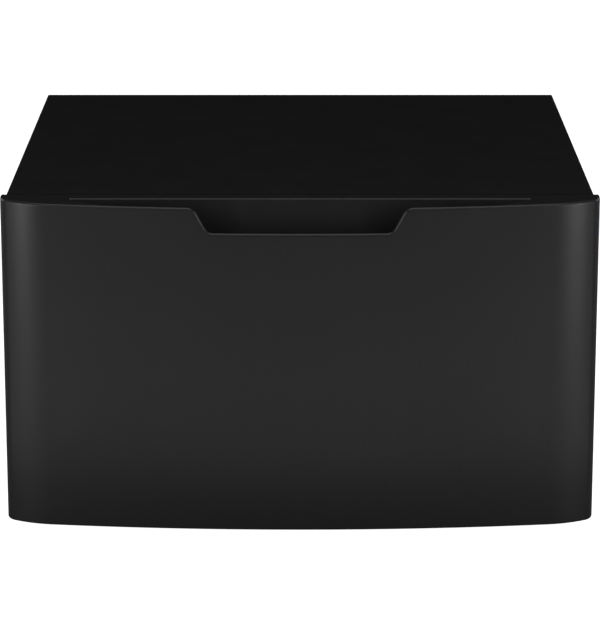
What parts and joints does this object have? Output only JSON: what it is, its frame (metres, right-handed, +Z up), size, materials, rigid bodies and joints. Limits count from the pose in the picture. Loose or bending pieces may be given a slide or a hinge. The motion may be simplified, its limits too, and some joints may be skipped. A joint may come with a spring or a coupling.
{
  "type": "laundry pedestal",
  "caption": "Low steel stand for a washer or dryer, with a flat deck, levelling legs and a wide bowed storage drawer on ball slides, opened by a notched hand pocket.",
  "frame": {"origin": "on the floor under the middle of the whole pedestal, with the drawer closed", "axes": "+Z up, +X to the right as seen from the front, the drawer opens towards -Y"},
  "size_m": [0.711, 0.672, 0.4095],
  "materials": {
    "front_paint": "satin charcoal metallic paint on a moulded front",
    "cabinet_paint": "satin charcoal paint on sheet steel",
    "pocket_plastic": "satin charcoal moulding",
    "drawer_paint": "semi-matt grey paint on sheet steel",
    "galvanised_steel": "galvanised sheet steel",
    "slide_zinc": "bright zinc plated steel",
    "ball_steel": "polished steel balls",
    "fastener_steel": "zinc plated steel",
    "rubber": "matt black rubber",
    "lever_plastic": "black moulded plastic"
  },
  "bodies": {
    "cabinet": {"cabinet_wrap": "cabinet_paint", "rear_panel": "galvanised_steel", "rear_panel_screws": "fastener_steel", "base_front_rail": "galvanised_steel", "base_rear_rail": "galvanised_steel", "deck_front_stiffener": "cabinet_paint", "deck_rear_stiffener": "cabinet_paint", "leg_brackets": "galvanised_steel", "leg_weld_nuts": "fastener_steel", "leg_lock_nuts": "fastener_steel", "front_bumpers": "rubber", "left_slide_bracket": "galvanised_steel", "right_slide_bracket": "galvanised_steel", "left_slide_outer": "slide_zinc", "right_slide_outer": "slide_zinc"},
    "drawer": {"drawer_front_panel": "front_paint", "handle_pocket": "pocket_plastic", "drawer_front_backing": "drawer_paint", "drawer_front_screws": "fastener_steel", "drawer_front_wall": "drawer_paint", "drawer_back_wall": "drawer_paint", "drawer_left_side": "drawer_paint", "drawer_right_side": "drawer_paint", "drawer_floor": "drawer_paint", "drawer_box_screws": "fastener_steel", "left_slide_inner": "slide_zinc", "right_slide_inner": "slide_zinc", "left_slide_screws": "fastener_steel", "right_slide_screws": "fastener_steel", "left_lever_pin": "fastener_steel", "right_lever_pin": "fastener_steel"},
    "left_middle_rail": {"left_slide_middle": "slide_zinc"},
    "left_outer_ball_row": {"left_outer_cage": "slide_zinc", "left_outer_balls": "ball_steel"},
    "left_inner_ball_row": {"left_inner_cage": "slide_zinc", "left_inner_balls": "ball_steel"},
    "left_lever": {"left_release_lever": "lever_plastic"},
    "right_middle_rail": {"right_slide_middle": "slide_zinc"},
    "right_outer_ball_row": {"right_outer_cage": "slide_zinc", "right_outer_balls": "ball_steel"},
    "right_inner_ball_row": {"right_inner_cage": "slide_zinc", "right_inner_balls": "ball_steel"},
    "right_lever": {"right_release_lever": "lever_plastic"},
    "front_left_foot": {"foot_front_left": "rubber"},
    "front_left_stud": {"stud_front_left": "fastener_steel"},
    "front_right_foot": {"foot_front_right": "rubber"},
    "front_right_stud": {"stud_front_right": "fastener_steel"},
    "rear_left_foot": {"foot_rear_left": "rubber"},
    "rear_left_stud": {"stud_rear_left": "fastener_steel"},
    "rear_right_foot": {"foot_rear_right": "rubber"},
    "rear_right_stud": {"stud_rear_right": "fastener_steel"}
  },
  "joints": [
    {"name": "drawer_slide", "type": "slide", "parent": "cabinet", "child": "drawer", "axis": [0, -1, 0], "range_m": [0, 0.448]},
    {"name": "left_middle_rail_slide", "type": "slide", "parent": "cabinet", "child": "left_middle_rail", "axis": [0, -1, 0], "range_m": [0, 0.224]},
    {"name": "left_outer_ball_row_slide", "type": "slide", "parent": "cabinet", "child": "left_outer_ball_row", "axis": [0, -1, 0], "range_m": [0, 0.112]},
    {"name": "left_inner_ball_row_slide", "type": "slide", "parent": "cabinet", "child": "left_inner_ball_row", "axis": [0, -1, 0], "range_m": [0, 0.336]},
    {"name": "left_lever_turn", "type": "hinge", "parent": "drawer", "child": "left_lever", "pos_m": [-0.3176, -0.079, 0.162], "axis": [1, 0, 0], "range_deg": [0, 6], "stiffness_Nm_per_rad": 0.05},
    {"name": "right_middle_rail_slide", "type": "slide", "parent": "cabinet", "child": "right_middle_rail", "axis": [0, -1, 0], "range_m": [0, 0.224]},
    {"name": "right_outer_ball_row_slide", "type": "slide", "parent": "cabinet", "child": "right_outer_ball_row", "axis": [0, -1, 0], "range_m": [0, 0.112]},
    {"name": "right_inner_ball_row_slide", "type": "slide", "parent": "cabinet", "child": "right_inner_ball_row", "axis": [0, -1, 0], "range_m": [0, 0.336]},
    {"name": "right_lever_turn", "type": "hinge", "parent": "drawer", "child": "right_lever", "pos_m": [0.3176, -0.079, 0.162], "axis": [1, 0, 0], "range_deg": [0, 6], "stiffness_Nm_per_rad": 0.05},
    {"name": "front_left_leg_lift", "type": "slide", "parent": "cabinet", "child": "front_left_foot", "axis": [0, 0, -1], "range_m": [0, 0.014]},
    {"name": "front_left_leg_turn", "type": "hinge", "parent": "front_left_foot", "child": "front_left_stud", "pos_m": [-0.302, -0.24, 0], "axis": [0, 0, -1], "range_deg": [0, 3361]},
    {"name": "front_right_leg_lift", "type": "slide", "parent": "cabinet", "child": "front_right_foot", "axis": [0, 0, -1], "range_m": [0, 0.014]},
    {"name": "front_right_leg_turn", "type": "hinge", "parent": "front_right_foot", "child": "front_right_stud", "pos_m": [0.302, -0.24, 0], "axis": [0, 0, -1], "range_deg": [0, 3361]},
    {"name": "rear_left_leg_lift", "type": "slide", "parent": "cabinet", "child": "rear_left_foot", "axis": [0, 0, -1], "range_m": [0, 0.014]},
    {"name": "rear_left_leg_turn", "type": "hinge", "parent": "rear_left_foot", "child": "rear_left_stud", "pos_m": [-0.302, 0.295, 0], "axis": [0, 0, -1], "range_deg": [0, 3361]},
    {"name": "rear_right_leg_lift", "type": "slide", "parent": "cabinet", "child": "rear_right_foot", "axis": [0, 0, -1], "range_m": [0, 0.014]},
    {"name": "rear_right_leg_turn", "type": "hinge", "parent": "rear_right_foot", "child": "rear_right_stud", "pos_m": [0.302, 0.295, 0], "axis": [0, 0, -1], "range_deg": [0, 3361]}
  ],
  "couplings": [
    {"joint": "left_middle_rail_slide", "follows": "drawer_slide", "ratio": 0.5},
    {"joint": "left_outer_ball_row_slide", "follows": "drawer_slide", "ratio": 0.25},
    {"joint": "left_inner_ball_row_slide", "follows": "drawer_slide", "ratio": 0.75},
    {"joint": "right_middle_rail_slide", "follows": "drawer_slide", "ratio": 0.5},
    {"joint": "right_outer_ball_row_slide", "follows": "drawer_slide", "ratio": 0.25},
    {"joint": "right_inner_ball_row_slide", "follows": "drawer_slide", "ratio": 0.75},
    {"joint": "front_left_leg_turn", "follows": "front_left_leg_lift", "rad_per_m": 4188.8},
    {"joint": "front_right_leg_turn", "follows": "front_right_leg_lift", "rad_per_m": 4188.8},
    {"joint": "rear_left_leg_turn", "follows": "rear_left_leg_lift", "rad_per_m": 4188.8},
    {"joint": "rear_right_leg_turn", "follows": "rear_right_leg_lift", "rad_per_m": 4188.8}
  ]
}
